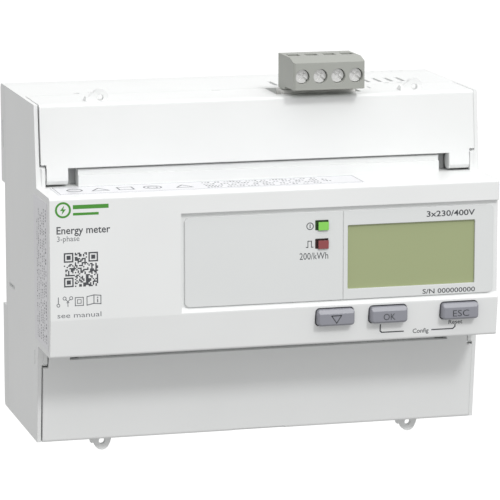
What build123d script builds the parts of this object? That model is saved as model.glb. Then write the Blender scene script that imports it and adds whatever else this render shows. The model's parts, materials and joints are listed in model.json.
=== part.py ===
from build123d import *
import math
import os

# Seven-module DIN-rail energy meter for three phases and neutral, direct connected up to 125 A.
# Millimetres.  +X runs across the width, the front faces -Y, +Z is up.  The origin is the centre
# of the seat that rests on a 35 mm top-hat rail: Y = 0 is the seat, Z = 0 the rail's centre line.

# ---- driving dimensions: the case ----------------------------------------------------------
MODULE_WIDTH = 18.0
WIDTH = 7 * MODULE_WIDTH
HALF_WIDTH = WIDTH / 2
WALL = 2.0
GAP = 0.3                       # clearance between pieces that move past each other
CONTACT = 0.05                  # clearance between pieces that rest side by side

NOSE_FRONT = -64.4
NOSE_MID = 1.6                  # the nose sits a little above the rail's centre line
NOSE_HALF = 21.85
UPPER_REACH = 44.2              # from the middle of the nose to the top deck
LOWER_REACH = 49.4              # from the middle of the nose to the bottom deck
SHOULDER_FRONT = -46.4          # front edge of the side walls, beside the nose
SEAM = -3.0                     # joint line between the main housing and the rear base
BACK = 4.4
NOSE_EDGE = 0.8                 # rounding of the nose's long edges
BASE_EDGE = 1.5                 # rounding of the base's long edges
COVER_EDGE_ROUND = 0.9          # rounding of a cover's outer edge
CUT_BACK = -60.0                # how deep the openings in the front wall are cut
FRONT_WALL = 2.8
KEYPAD_BREAK = 11.4             # the keypad panel leans back below this depth under the middle
KEYPAD_LEAN = 1.3

# ---- driving dimensions: the rail fixing ---------------------------------------------------
RAIL_SLOT_HALF = 17.75
SEAT_HALF_HEIGHT = 14.5
SEAT_HALF_WIDTH = 58.0
SEAT_RISE = 0.4
HOOK_GAP = 1.3                  # a 1 mm rail flange with a little play
HOOK_LIP = 1.55
HOOK_CENTRES = (-31.0, 31.0)
HOOK_WIDTH = 18.0
LATCH_HALF_WIDTH = 10.5
LATCH_THICK = 2.1
SPRING_TOP = -28.0
SPRING_FOOT = -40.0
SPRING_RADIUS = 1.15
SPRING_WIRE = 0.25

# ---- driving dimensions: the terminal covers -----------------------------------------------
COVER_TILT = math.radians(6.2)
COVER_THICK = 2.0
PIVOT_Y = -44.9
PIVOT_REACH = 24.55             # from the middle of the nose to a cover's hinge axis
ARM_RADIUS = 2.25
ARM_TOE = 1.9                  # how far the flat front of an arm runs below its pin
ARM_INNER = 54.2
ARM_OUTER = 60.1
PIN_RADIUS = 1.3
PIN_PLAY = 0.05
PIN_END = 61.7
COVER_EDGE = {1: 27.0, -1: 26.0}    # free edge of the upper and lower cover between the arms
COVER_STEP = 28.0               # where a cover widens to its full width
COVER_HALF_WIDTH = 61.6
RETURN_BACK = -26.4
RETURN_THICK = 1.8
LUG_CENTRES = {1: (-44.8, 44.8), -1: (-44.1, 44.8)}
LUG_HOLE_RADIUS = 0.9
LUG_HOLE_RISE = {1: 0.95, -1: 1.5}     # from the cover's edge to the middle of the hole
LUG_HEIGHT = {1: 3.4, -1: 4.0}
LUG_THICK = 1.6
LUG_HALF = 3.1
LUG_RADIUS = 2.1

# ---- driving dimensions: terminals and current path ----------------------------------------
POLES = {"line_1": -47.0, "line_2": -25.0, "line_3": -3.0, "neutral": 47.0}
CAGE_HALF = 7.0
CAGE_FRONT = -40.0
CAGE_BACK = -24.0
CAGE_HEIGHT = 12.0
CAGE_DEPTH_BELOW_DECK = 5.8
CAGE_BORE_HALF = 5.2
CAGE_FRONT_WALL = 2.2
CAGE_BACK_WALL = 1.6
TERMINAL_SCREW_RADIUS = 3.7
BAR_WIDTH = 8.0
BAR_THICK = 2.5
BAR_TERMINAL_Y = CAGE_BACK - CAGE_BACK_WALL - BAR_THICK / 2 - CONTACT
BAR_SENSOR_Y = -20.0
BLOCK_FRONT = -41.9
BLOCK_BACK = -22.3
BLOCK_FLOOR = 21.9
SENSOR_OUTER = 9.5
SENSOR_INNER = 4.9
SENSOR_HEIGHT = 8.0

# ---- driving dimensions: display, keypad and boards ----------------------------------------
RECESS_LEFT = -27.0
RECESS_TOP = 17.8
RECESS_BOTTOM = -9.4
RECESS_DEPTH = 1.2
RECESS_SLOPE = 1.3
PANE_LEFT = -25.9
PANE_RIGHT = 61.6
PANE_TOP = 16.6
PANE_BOTTOM = -8.05
PANE_THICK = 0.6
LCD_VIEW = (19.8, 56.3, -5.2, 12.5)     # left, right, bottom, top of the visible area
LCD_MARGIN_X = 2.0
LCD_MARGIN_Z = 2.4
LAMP_LEFT = 10.55
LAMP_WIDTH = 3.75
LAMP_HEIGHT = 2.8
LAMP_PAD_WIDTH = 2.9
LAMP_PAD_HEIGHT = 2.3
LAMP_CENTRES = {"power": 12.85, "pulse": 7.75}
BUTTON_CENTRES = {"scroll": 16.05, "ok": 31.2, "escape": 51.7}
BUTTON_WIDTH = 10.4
BUTTON_HEIGHT = 4.5
BUTTON_Z = -12.55
BUTTON_FRONT = NOSE_FRONT - 1.8
BUTTON_TRAVEL = 0.5
BUTTON_EDGE = 0.45              # bevel round a key's face
BUTTON_BROW = 1.2               # height of the wider bevel along its upper edge
BOARD_THICK = 1.6
DISPLAY_BOARD_FRONT = -56.2
MAIN_BOARD_FRONT = -36.0
COMM_BOARD_TOP = 36.0

# ---- driving dimensions: the pluggable communication terminal ------------------------------
PITCH = 5.08
WAYS = 4
PLUG_MID = 18.4
PLUG_WIDTH = PITCH * WAYS
PLUG_FRONT = -50.1
PLUG_BACK = -34.2
PLUG_BOTTOM = 48.0
PLUG_TOP = 56.6
PLUG_SCREW_Z = 51.7
PLUG_SCREW_FACE = PLUG_FRONT + 1.2
PLUG_SCREW_SEAT = PLUG_FRONT + 2.3
HEADER_FRONT = -39.6
HEADER_BACK = -33.2
HEADER_TOP = 46.8
CONTACT_Y = -36.4               # row of contact pins
HEADER_WALL = 0.8
NOTCH_HALF = 12.2               # half width of the lid's notch round the header
NOTCH_LEFT = PLUG_MID - NOTCH_HALF
NOTCH_RIGHT = PLUG_MID + NOTCH_HALF
NOTCH_FRONT = HEADER_FRONT - GAP
WIRE_MARK_RADIUS = 6.2

UPPER = (1, UPPER_REACH)
LOWER = (-1, LOWER_REACH)


# ---- small helpers -------------------------------------------------------------------------
def block(x0, x1, y0, y1, z0, z1):
    """A box between two corners, given as low and high values along X, Y and Z."""
    size = Box(abs(x1 - x0), abs(y1 - y0), abs(z1 - z0))
    return Pos((x0 + x1) / 2, (y0 + y1) / 2, (z0 + z1) / 2) * size


def level(side, reach):
    """Height of a point that lies a given reach above (or below) the middle of the nose."""
    return NOSE_MID + side[0] * reach


def side_block(side, x0, x1, y0, y1, reach0, reach1):
    """A box whose heights are given as reaches from the middle of the nose."""
    return block(x0, x1, y0, y1, level(side, reach0), level(side, reach1))


def prism(points, x0, x1):
    """Extrude an outline of (Y, Z) points from x0 to x1."""
    face = Plane.YZ.offset(x0) * Polygon(*points, align=None)
    return extrude(face, x1 - x0, dir=(1, 0, 0))


def rod_x(radius, x0, x1, y, z):
    """A cylinder along X."""
    return Pos((x0 + x1) / 2, y, z) * Rot(0, 90, 0) * Cylinder(radius, abs(x1 - x0))


def rod_y(radius, x, y0, y1, z):
    """A cylinder along Y."""
    return Pos(x, (y0 + y1) / 2, z) * Rot(90, 0, 0) * Cylinder(radius, abs(y1 - y0))


def rod_z(radius, x, y, z0, z1):
    """A cylinder along Z."""
    return Pos(x, y, (z0 + z1) / 2) * Cylinder(radius, abs(z1 - z0))


def pocket_y(width, height, corner, x, z, y0, y1):
    """A rounded rectangular bar along Y, used for window cut-outs and button caps."""
    outline = Pos(x, z) * RectangleRounded(width, height, corner)
    face = Plane(origin=(0, y0, 0), x_dir=(1, 0, 0), z_dir=(0, -1, 0)) * outline
    return extrude(face, y1 - y0, dir=(0, 1, 0))


def group(solids):
    """Several separate solids that share one node."""
    return Compound(children=list(solids))


def cover_front(reach, shift=0.0):
    """Y of a terminal cover's outer face at a given reach, moved inwards by shift."""
    at_pivot = PIVOT_Y - ARM_RADIUS / math.cos(COVER_TILT)
    return at_pivot + math.tan(COVER_TILT) * (reach - PIVOT_REACH) + shift


# ---- the case ------------------------------------------------------------------------------
NOSE_TOP = NOSE_MID + NOSE_HALF
NOSE_BOTTOM = NOSE_MID - NOSE_HALF
TOP = NOSE_MID + UPPER_REACH
BOTTOM = NOSE_MID - LOWER_REACH
SIDE_RECESS = 0.8               # the covers stand this far proud of the side walls
LEDGE_HALF = 51.3
LEDGE_FRONT = {1: -46.6, -1: -45.6}
LEDGE_TOP = 24.9
LEDGE_STEP_FRONT = -45.9        # clears the upper cover's edge as it swings round the pin
UPSTAND_FRONT = -44.5
UPSTAND_BACK = -42.3
UPSTAND_TOP = 27.8
DECK_FRONT = RETURN_BACK + GAP
VENT_COUNT = 12
VENT_FIRST = 11.2
VENT_PITCH = 3.42
VENT_BACK = -12.7
VENT_FRONT = -21.4
VENT_WIDTH = 1.1
CASE_SCREW_X = 57.0
CASE_SCREW_REACHES = (UPPER_REACH - 6.0, -(LOWER_REACH - 6.0))
CASE_BOSS_RADIUS = 3.2
CASE_BOSS_FRONT = -18.0
CASE_PILOT_FRONT = -16.0
CASE_SCREW_TIP = -14.0
CASE_HEAD_SEAT = 1.6
CASE_HEAD_FACE = 3.4
SEAL_WIRE_OFFSET = 2.0          # the two holes in the deck beside a sealing lug
SEAL_WIRE_Y = DECK_FRONT + 2.5
SIDE_SLOT_BACK = (-13.4, -5.4, -11.1, -9.9)     # front, back, bottom, top of a blind slot
SIDE_SLOT_FRONT = (-42.3, -41.6, -26.2, -22.2)
SIDE_SLOT_BASE = (0.9, 1.7, 27.5, 35.6)
DECK_DOT_COUNT = 4
DECK_DOT_FIRST = 46.1
DECK_DOT_PITCH = 2.9
DECK_DOT_Y = 0.6
DECK_DOT_RADIUS = 0.45
DECK_MARK_DEPTH = 0.8
DRIVER_SLOT = (34.8, 35.4, -34.0, -30.2)        # left, right, front, back in the upper lid
LIFT_NOTCH = (-9.2, -6.6)       # finger nail notch in the back edge of the upper lid
LIFT_NOTCH_DEPTH = 1.2
SCREW_RADIUS = 1.5
DISPLAY_POSTS = ((10.5, 18.9), (58.0, 18.9), (6.6, -13.0), (41.4, -13.0))
MAIN_POSTS = ((-56.5, 15.5), (56.5, 15.5), (-56.5, -13.0), (56.5, -13.0))
COMM_POSTS = ((-20.0, -9.0), (18.4, -9.0), (51.0, -9.0))
POST_RADIUS = 2.6
SLIM_POST_RADIUS = 2.1
PILOT_RADIUS = 1.1


def case_outline():
    """The solid outer form of the main housing, before it is hollowed."""
    nose = prism(
        [
            (NOSE_FRONT, NOSE_TOP),
            (NOSE_FRONT, NOSE_MID - KEYPAD_BREAK),
            (NOSE_FRONT + KEYPAD_LEAN, NOSE_BOTTOM),
            (SHOULDER_FRONT + WALL, NOSE_BOTTOM),
            (SHOULDER_FRONT + WALL, NOSE_TOP),
        ],
        -HALF_WIDTH,
        HALF_WIDTH,
    )
    nose = fillet(nose.edges().filter_by(Axis.X).group_by(Axis.Y)[0].sort_by(Axis.Z)[-1:], NOSE_EDGE)
    nose = fillet(nose.edges().filter_by(Axis.X).group_by(Axis.Z)[0].sort_by(Axis.Y)[:1], NOSE_EDGE)
    body = prism(
        [
            (cover_front(NOSE_HALF, SIDE_RECESS), NOSE_TOP),
            (cover_front(UPPER_REACH, SIDE_RECESS), TOP),
            (SEAM, TOP),
            (SEAM, BOTTOM),
            (cover_front(LOWER_REACH, SIDE_RECESS), BOTTOM),
            (cover_front(NOSE_HALF, SIDE_RECESS), NOSE_BOTTOM),
        ],
        -HALF_WIDTH,
        HALF_WIDTH,
    )
    return nose + body


def cover_space(side):
    """What a terminal cover, its arms and the clearance round them take out of the housing."""
    outer = side[1]
    edge = COVER_HALF_WIDTH + GAP
    inner_shift = COVER_THICK + 2 * GAP
    plate = prism(
        [
            (NOSE_FRONT, level(side, COVER_STEP - 1.0)),
            (PIVOT_Y - 2.1, level(side, COVER_STEP - 1.0)),
            (PIVOT_Y, level(side, COVER_STEP - GAP)),
            (cover_front(COVER_STEP, inner_shift), level(side, COVER_STEP - GAP)),
            (cover_front(outer, inner_shift), level(side, outer)),
            (cover_front(outer, inner_shift), level(side, outer + WALL)),
            (NOSE_FRONT, level(side, outer + WALL)),
        ],
        -edge,
        edge,
    )
    lid = side_block(side, -edge, edge, NOSE_FRONT, DECK_FRONT, outer - RETURN_THICK - GAP, outer + WALL)
    return plate + lid


def hinge_cheek(side, sign):
    """The thicker stretch of side wall round a hinge pin, bevelled so that the cover swings past."""
    front = cover_front(NOSE_HALF, SIDE_RECESS)
    inner = sign * (ARM_OUTER + GAP)
    outer = sign * (HALF_WIDTH - 1.5)
    cheek = prism(
        [
            (front, level(side, NOSE_HALF - CONTACT)),
            (front, level(side, COVER_STEP - 4 * GAP)),
            (front + 1.3, level(side, COVER_STEP - GAP)),
            (BLOCK_FRONT, level(side, COVER_STEP - GAP)),
            (BLOCK_FRONT, level(side, NOSE_HALF - CONTACT)),
        ],
        min(inner, outer),
        max(inner, outer),
    )
    socket = rod_x(PIN_RADIUS + PIN_PLAY, sign * 60.0, sign * (PIN_END + PIN_PLAY), PIVOT_Y,
                   level(side, PIVOT_REACH))
    return cheek, socket


def ledge(side):
    """The stepped rib behind a cover's free edge; it shows in the gap above or below the nose."""
    rib = side_block(side, -LEDGE_HALF, LEDGE_HALF, LEDGE_FRONT[side[0]], UPSTAND_BACK, NOSE_HALF - WALL,
                     LEDGE_TOP)
    upstand = side_block(side, -LEDGE_HALF, LEDGE_HALF, UPSTAND_FRONT, UPSTAND_BACK, NOSE_HALF, UPSTAND_TOP)
    if side == UPPER:
        upstand += side_block(side, -LEDGE_HALF, LEDGE_HALF, LEDGE_STEP_FRONT, UPSTAND_BACK, NOSE_HALF,
                              COVER_EDGE[1] - 2 * GAP)
    return rib + upstand


def main_housing():
    """Front shell: nose, side walls, decks, shelves, bosses and the display recess."""
    inner = HALF_WIDTH - WALL
    shell = case_outline()
    middle = block(-inner, inner, NOSE_FRONT + FRONT_WALL, SEAM, NOSE_BOTTOM + WALL, NOSE_TOP - WALL)
    shell -= middle
    for side in (UPPER, LOWER):
        chamber = side_block(side, -inner, inner, -60.0, SEAM, NOSE_HALF, side[1] - WALL)
        shell -= chamber
        shell -= cover_space(side)
        shell += ledge(side)
        for sign in (-1, 1):
            cheek, socket = hinge_cheek(side, sign)
            shell = shell + cheek - socket
        for pole in POLES.values():
            shell -= side_block(side, pole - BAR_WIDTH / 2 - GAP, pole + BAR_WIDTH / 2 + GAP,
                                BAR_TERMINAL_Y - BAR_THICK / 2 - GAP, BAR_TERMINAL_Y + BAR_THICK / 2 + GAP,
                                NOSE_HALF - WALL - 1, NOSE_HALF + 1)
        for index in range(VENT_COUNT):
            slot_x = VENT_FIRST + index * VENT_PITCH
            shell -= side_block(side, slot_x - VENT_WIDTH / 2, slot_x + VENT_WIDTH / 2,
                                VENT_FRONT, VENT_BACK, side[1] - WALL - 1, side[1] + 1)
        for lug in LUG_CENTRES[side[0]]:
            for offset in (-SEAL_WIRE_OFFSET, SEAL_WIRE_OFFSET):
                shell -= rod_z(LUG_HOLE_RADIUS, lug + offset, SEAL_WIRE_Y,
                               level(side, side[1] - WALL - 1), level(side, side[1] + 1))
    shell -= link_slot()
    shell += housing_bosses()
    shell -= display_cuts()
    return shell - side_marks()


def link_slot():
    """Slot for the pins between the main board and the communication board."""
    return block(PLUG_MID - 7.6, PLUG_MID + 7.6, -33.2, -31.3, 20.0, 30.0)


def housing_bosses():
    """Screw bosses for the rear base, the display board and the communication board."""
    parts = []
    for sign in (-1, 1):
        for reach in CASE_SCREW_REACHES:
            height = NOSE_MID + reach
            boss = rod_y(CASE_BOSS_RADIUS, sign * CASE_SCREW_X, CASE_BOSS_FRONT, SEAM, height)
            web = block(sign * CASE_SCREW_X, sign * (HALF_WIDTH - WALL / 2), CASE_BOSS_FRONT, SEAM,
                        height - 0.8, height + 0.8)
            pilot = rod_y(SCREW_RADIUS, sign * CASE_SCREW_X, CASE_PILOT_FRONT, SEAM + 1, height)
            parts.append(boss + web - pilot)
    for x, z in DISPLAY_POSTS:
        post = rod_y(SLIM_POST_RADIUS, x, NOSE_FRONT + FRONT_WALL - 0.5, DISPLAY_BOARD_FRONT, z)
        parts.append(post - rod_y(PILOT_RADIUS, x, NOSE_FRONT + FRONT_WALL, DISPLAY_BOARD_FRONT + 1, z))
    for x, y in COMM_POSTS:
        post = rod_z(POST_RADIUS, x, y, NOSE_TOP - 0.5, COMM_BOARD_TOP - BOARD_THICK)
        parts.append(post - rod_z(PILOT_RADIUS, x, y, NOSE_TOP + 2, COMM_BOARD_TOP))
    total = parts[0]
    for part in parts[1:]:
        total += part
    return total


def display_cuts():
    """The sloped display recess, the LCD opening, the lamp holes and the button holes."""
    floor = NOSE_FRONT + RECESS_DEPTH
    left, right, low, high = LCD_VIEW
    recess = prism(
        [
            (NOSE_FRONT - 1, RECESS_TOP),
            (floor, RECESS_TOP),
            (floor, RECESS_BOTTOM + RECESS_SLOPE),
            (NOSE_FRONT, RECESS_BOTTOM),
            (NOSE_FRONT - 1, RECESS_BOTTOM),
        ],
        RECESS_LEFT,
        HALF_WIDTH + 1,
    )
    cuts = recess
    cuts += block(left - LCD_MARGIN_X - GAP, right + LCD_MARGIN_X + GAP, NOSE_FRONT, CUT_BACK,
                  low - LCD_MARGIN_Z - GAP, high + LCD_MARGIN_Z + GAP)
    for centre in LAMP_CENTRES.values():
        cuts += block(LAMP_LEFT - CONTACT, LAMP_LEFT + LAMP_WIDTH + CONTACT, NOSE_FRONT, CUT_BACK,
                      centre - LAMP_HEIGHT / 2 - CONTACT, centre + LAMP_HEIGHT / 2 + CONTACT)
    for centre in BUTTON_CENTRES.values():
        cuts += pocket_y(BUTTON_WIDTH + 2 * GAP, BUTTON_HEIGHT + 2 * GAP, 0.9 + GAP, centre, BUTTON_Z,
                         NOSE_FRONT - 1, CUT_BACK)
    return cuts


def side_marks():
    """Small blind slots moulded into the two side walls."""
    cuts = block(-HALF_WIDTH - 1, -HALF_WIDTH + WALL / 2, *SIDE_SLOT_BACK)
    cuts += block(HALF_WIDTH - WALL / 2, HALF_WIDTH + 1, *SIDE_SLOT_BACK)
    for sign in (-1, 1):
        cuts += block(sign * (HALF_WIDTH - 2 * GAP), sign * (HALF_WIDTH + 1), *SIDE_SLOT_FRONT)
    return cuts


def rear_base():
    """Rear tray: rail slot with its seat and fixed hooks, latch channel, board posts."""
    body = prism(
        [
            (SEAM, TOP),
            (BACK, TOP),
            (BACK, RAIL_SLOT_HALF),
            (-SEAT_RISE, RAIL_SLOT_HALF),
            (-SEAT_RISE, -RAIL_SLOT_HALF),
            (BACK, -RAIL_SLOT_HALF),
            (BACK, BOTTOM),
            (SEAM, BOTTOM),
        ],
        -HALF_WIDTH,
        HALF_WIDTH,
    )
    body = fillet(body.edges().filter_by(Axis.X).group_by(Axis.Y)[-1].sort_by(Axis.Z)[-1:], BASE_EDGE)
    body = fillet(body.edges().filter_by(Axis.X).group_by(Axis.Y)[-1].sort_by(Axis.Z)[:1], BASE_EDGE)
    inner = HALF_WIDTH - WALL
    body -= block(-inner, inner, SEAM, BACK - WALL, RAIL_SLOT_HALF + WALL, TOP - WALL)
    for sign in (-1, 1):
        body -= block(sign * (LATCH_HALF_WIDTH + 2 * WALL), sign * inner, SEAM, BACK - WALL,
                      BOTTOM + WALL, -RAIL_SLOT_HALF - WALL)
    body += block(-SEAT_HALF_WIDTH, SEAT_HALF_WIDTH, -SEAT_RISE, 0, -SEAT_HALF_HEIGHT, SEAT_HALF_HEIGHT)
    for centre in HOOK_CENTRES:
        body += block(centre - HOOK_WIDTH / 2, centre + HOOK_WIDTH / 2, HOOK_GAP, BACK,
                      RAIL_SLOT_HALF - HOOK_LIP, RAIL_SLOT_HALF)
    body -= latch_channel()
    body += latch_keepers()
    for x, z in MAIN_POSTS:
        post = rod_y(POST_RADIUS, x, MAIN_BOARD_FRONT + BOARD_THICK, SEAM + 0.5, z)
        body += post - rod_y(PILOT_RADIUS, x, MAIN_BOARD_FRONT, -22.0, z)
    for name, pole in POLES.items():
        if name != "neutral":
            saddle = block(pole - 6.0, pole + 6.0, -14.5, SEAM + 0.5, NOSE_MID - 3.0, NOSE_MID + 3.0)
            body += saddle - rod_z(SENSOR_OUTER + CONTACT, pole, BAR_SENSOR_Y, NOSE_MID - 4, NOSE_MID + 4)
    for sign in (-1, 1):
        for reach in CASE_SCREW_REACHES:
            height = NOSE_MID + reach
            body += rod_y(CASE_BOSS_RADIUS, sign * CASE_SCREW_X, SEAM, BACK - WALL / 2, height)
            body -= rod_y(SCREW_RADIUS + 0.2, sign * CASE_SCREW_X, SEAM - 1, BACK + 1, height)
            body -= rod_y(SCREW_RADIUS + 1.5, sign * CASE_SCREW_X, CASE_HEAD_SEAT, BACK + 1, height)
        body -= block(sign * (HALF_WIDTH - 0.5), sign * (HALF_WIDTH + 1), *SIDE_SLOT_BASE)
    for index in range(DECK_DOT_COUNT):
        body -= rod_z(DECK_DOT_RADIUS, DECK_DOT_FIRST + DECK_DOT_PITCH * index, DECK_DOT_Y,
                      TOP - DECK_MARK_DEPTH, TOP + 1)
    return body


def latch_channel():
    """The groove down the back of the base in which the latch slides."""
    half = LATCH_HALF_WIDTH + GAP
    return block(-half, half, HOOK_GAP - GAP, BACK + 1, BOTTOM - 1, -RAIL_SLOT_HALF + 1)


def latch_keepers():
    """Lips that hold the latch in its groove, and the tab that the latch spring stands on."""
    behind = HOOK_GAP + LATCH_THICK + GAP
    parts = block(-2.6, 2.6, HOOK_GAP - 2 * GAP, BACK - 0.6, SPRING_FOOT - 1.5, SPRING_FOOT)
    for sign in (-1, 1):
        parts += block(sign * (LATCH_HALF_WIDTH - 1.4), sign * (LATCH_HALF_WIDTH + 2 * GAP), behind, BACK,
                       -44.0, -24.0)
    return parts


def case_screws():
    """Four self-tapping screws that hold the rear base to the main housing."""
    screws = []
    for sign in (-1, 1):
        for reach in CASE_SCREW_REACHES:
            height = NOSE_MID + reach
            x = sign * CASE_SCREW_X
            head = rod_y(SCREW_RADIUS + 1.2, x, CASE_HEAD_SEAT, CASE_HEAD_FACE, height)
            shank = rod_y(SCREW_RADIUS, x, CASE_SCREW_TIP, CASE_HEAD_SEAT, height)
            screws.append(head + shank - cross_recess(x, CASE_HEAD_FACE, height, 1, 1.1))
    return group(screws)


def cross_recess(x, y, z, outward, depth):
    """A cross-shaped driver recess in a head whose face is at y and faces along outward * Y."""
    arm = block(x - 1.5, x + 1.5, y - outward * depth, y + outward * 0.5, z - 0.3, z + 0.3)
    other = block(x - 0.3, x + 0.3, y - outward * depth, y + outward * 0.5, z - 1.5, z + 1.5)
    return arm + other


# ---- terminal covers -----------------------------------------------------------------------
def cover_arm(side, sign):
    """One hinge arm with its round end and the pin that runs in the side wall."""
    pivot_z = level(side, PIVOT_REACH)
    arm = prism(
        [
            (PIVOT_Y, level(side, PIVOT_REACH - ARM_TOE)),
            (PIVOT_Y - 1.5, level(side, PIVOT_REACH - ARM_TOE)),
            (cover_front(PIVOT_REACH), level(side, PIVOT_REACH - ARM_TOE / 2)),
            (cover_front(PIVOT_REACH), pivot_z),
            (cover_front(COVER_STEP + 2), level(side, COVER_STEP + 2)),
            (cover_front(COVER_STEP + 2, COVER_THICK), level(side, COVER_STEP + 2)),
            (PIVOT_Y + 1.2, level(side, PIVOT_REACH + 1.9)),
            (PIVOT_Y, pivot_z),
        ],
        min(sign * ARM_INNER, sign * ARM_OUTER),
        max(sign * ARM_INNER, sign * ARM_OUTER),
    )
    arm += rod_x(ARM_RADIUS, sign * ARM_INNER, sign * ARM_OUTER, PIVOT_Y, pivot_z)
    return arm + rod_x(PIN_RADIUS, sign * (ARM_OUTER - 0.5), sign * PIN_END, PIVOT_Y, pivot_z)


def seal_lug(side, centre, hole_shift):
    """A sealing eyelet on a cover's edge: a rounded ear with a wire hole and a stiffening web."""
    outer = side[1]
    front = cover_front(outer, 4.0)
    base = level(side, outer - 0.5)
    crown_x = centre + hole_shift
    crown_reach = outer + LUG_HEIGHT[side[0]] - LUG_RADIUS
    crown_z = level(side, crown_reach)
    shoulder = LUG_RADIUS * math.cos(math.radians(30))
    rise_z = level(side, crown_reach + LUG_RADIUS * math.sin(math.radians(30)))
    outline = Polygon(
        (centre - LUG_HALF, base),
        (centre + LUG_HALF, base),
        (max(crown_x + shoulder, centre + LUG_HALF * 0.75), crown_z),
        (crown_x + shoulder, rise_z),
        (crown_x - shoulder, rise_z),
        (min(crown_x - shoulder, centre - LUG_HALF * 0.75), crown_z),
        align=None,
    )
    ear_face = Plane(origin=(0, front, 0), x_dir=(1, 0, 0), z_dir=(0, -1, 0)) * outline
    ear = extrude(ear_face, LUG_THICK, dir=(0, 1, 0))
    ear += rod_y(LUG_RADIUS, crown_x, front, front + LUG_THICK, crown_z)
    web = prism(
        [
            (front, base),
            (front, crown_z),
            (front + LUG_THICK, crown_z),
            (front + 3.0 * LUG_THICK, base),
        ],
        centre - LUG_HALF,
        centre - LUG_HALF + 0.9,
    )
    hole_z = level(side, outer + LUG_HOLE_RISE[side[0]])
    return ear + web - rod_y(LUG_HOLE_RADIUS, crown_x, front - 1, front + LUG_THICK + 1, hole_z)


def cover_wall(side):
    """Section of a cover's tilted front wall, carried over its full width."""
    outer = side[1]
    edge = COVER_EDGE[side[0]]
    return prism(
        [
            (cover_front(edge), level(side, edge)),
            (cover_front(outer), level(side, outer)),
            (cover_front(outer, COVER_THICK), level(side, outer)),
            (cover_front(edge, COVER_THICK), level(side, edge)),
        ],
        -COVER_HALF_WIDTH,
        COVER_HALF_WIDTH,
    )


def terminal_cover(side):
    """The front wall of a sealable flap, with its two hinge arms and their pins."""
    cover = cover_wall(side)
    corner = (0, cover_front(side[1]), level(side, side[1]))
    cover = fillet(cover.edges().filter_by(Axis.X).sort_by_distance(corner)[0], COVER_EDGE_ROUND)
    for sign in (-1, 1):
        cover -= side_block(side, sign * (ARM_OUTER + CONTACT), sign * (COVER_HALF_WIDTH + 1), -60, -30,
                            NOSE_HALF, COVER_STEP)
        cover += cover_arm(side, sign)
    return cover


def cover_lid(side, hole_shift):
    """The short wall that a flap turns into over the wires, with wire marks and sealing lugs."""
    outer = side[1]
    lid = side_block(side, -COVER_HALF_WIDTH, COVER_HALF_WIDTH, cover_front(outer), RETURN_BACK,
                     outer - RETURN_THICK, outer)
    lid -= cover_wall(side)
    for centre in LUG_CENTRES[side[0]]:
        lid += seal_lug(side, centre, hole_shift)
    for pole in POLES.values():
        ring = Cylinder(WIRE_MARK_RADIUS, 0.8) - Cylinder(WIRE_MARK_RADIUS - 0.6, 1.0)
        lid -= Pos(pole, -33.0, level(side, outer - RETURN_THICK)) * ring
    return lid


def upper_cover_lid():
    """Whole upper lid, open round the communication header, with its driver slots."""
    lid = cover_lid(UPPER, 0.9)
    lid -= block(NOTCH_LEFT, NOTCH_RIGHT, NOTCH_FRONT, RETURN_BACK + 1, TOP - WALL - 1, TOP + 1)
    lid -= block(*DRIVER_SLOT, TOP - DECK_MARK_DEPTH, TOP + 1)
    return lid - block(*LIFT_NOTCH, RETURN_BACK - LIFT_NOTCH_DEPTH, RETURN_BACK + 1, TOP - WALL - 1, TOP + 1)


def upper_lid_part(left, right):
    """The stretch of the upper lid between two X values."""
    return upper_cover_lid() & block(left, right, -60, -20, TOP - 5, TOP + 10)


def lower_terminal_cover():
    """Lower flap's front wall, with a shallow screwdriver notch over the latch."""
    return terminal_cover(LOWER) - block(-7.4, 7.4, -50.0, -43.4, BOTTOM - 1, BOTTOM + 0.5)


# ---- terminals and current path ------------------------------------------------------------
def cage_reaches(side):
    """Inner and outer reach of the terminal cages on one side."""
    outer = side[1] - CAGE_DEPTH_BELOW_DECK
    return outer - CAGE_HEIGHT, outer


def terminal_block(side):
    """Insulating moulding with one well for each cage, open towards the cover."""
    low, high = cage_reaches(side)
    top = side[1] - WALL - 0.8
    inner = HALF_WIDTH - WALL - 0.2
    body = side_block(side, -inner, inner, BLOCK_FRONT, BLOCK_BACK, BLOCK_FLOOR, top)
    for pole in POLES.values():
        body -= side_block(side, pole - CAGE_HALF - CONTACT, pole + CAGE_HALF + CONTACT,
                           CAGE_FRONT - CONTACT, CAGE_BACK + CONTACT, low - CONTACT, top + 1)
        body -= side_block(side, pole - BAR_WIDTH / 2 - GAP, pole + BAR_WIDTH / 2 + GAP,
                           BAR_TERMINAL_Y - BAR_THICK / 2 - CONTACT, CAGE_BACK - CAGE_BACK_WALL,
                           BLOCK_FLOOR - 1, low)
        body -= rod_y(TERMINAL_SCREW_RADIUS + 0.4, pole, BLOCK_FRONT - 1, CAGE_FRONT,
                      level(side, (low + high) / 2))
    for sign in (-1, 1):
        body -= side_block(side, sign * ARM_INNER, sign * inner, BLOCK_FRONT - 1, BLOCK_FRONT + 1.6,
                           BLOCK_FLOOR - 1, COVER_STEP + 2)
    return body


def upper_terminal_block():
    """Upper moulding with a bay for the communication header and its board."""
    body = terminal_block(UPPER) - link_slot()
    body -= block(NOTCH_LEFT, NOTCH_RIGHT, BLOCK_FRONT + 1.2, BLOCK_BACK + 1, 27.0, TOP)
    return body - block(NOTCH_LEFT, NOTCH_RIGHT, BLOCK_FRONT - 1, BLOCK_FRONT + 2,
                        COMM_BOARD_TOP - BOARD_THICK - 1, TOP)


def lower_terminal_block():
    """Lower moulding, relieved between the line and neutral wells."""
    body = terminal_block(LOWER)
    return body - side_block(LOWER, 8.0, 36.0, BLOCK_FRONT + 2.0, BLOCK_BACK - 2.0, 30.0, LOWER_REACH)


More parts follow.
